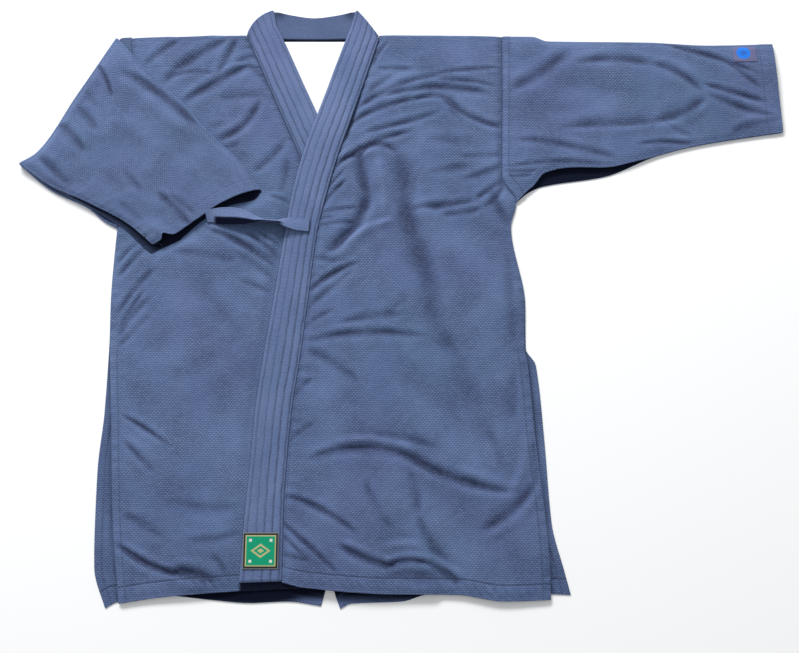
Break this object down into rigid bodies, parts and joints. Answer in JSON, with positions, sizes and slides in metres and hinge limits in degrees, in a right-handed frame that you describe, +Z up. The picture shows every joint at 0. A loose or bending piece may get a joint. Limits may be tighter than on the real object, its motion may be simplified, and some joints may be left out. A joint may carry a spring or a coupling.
{
  "type": "kendo jacket laid flat",
  "caption": "Indigo wrap-front practice jacket laid flat, one sleeve out and one turned over the chest, with a stitched collar band, side vents and a chest tie.",
  "frame": {"origin": "middle of the outline, on the surface that the jacket lies on", "axes": "+X towards the wearer's left sleeve, +Y towards the collar, +Z up off the surface"},
  "size_m": [1.172, 0.9178, 0.0238],
  "materials": {
    "cloth": "rice-grain cotton, indigo",
    "band": "plain-woven cotton band with rows of stitches, indigo",
    "lining": "white cotton",
    "label": "woven satin label, green with a gold border",
    "badge": "woven badge with a plain blue disc"
  },
  "bodies": {
    "root": {"back_left": "cloth", "back_right": "cloth", "front_right": "cloth", "front_left": "cloth", "yoke_left": "cloth", "yoke_right": "cloth", "sleeve_left": "cloth", "sleeve_right_root": "cloth", "sleeve_right_turned": "cloth", "collar_band": "band", "chest_tie": "band", "neck_lining": "lining", "hem_label": "label", "cuff_badge": "badge"}
  },
  "joints": []
}
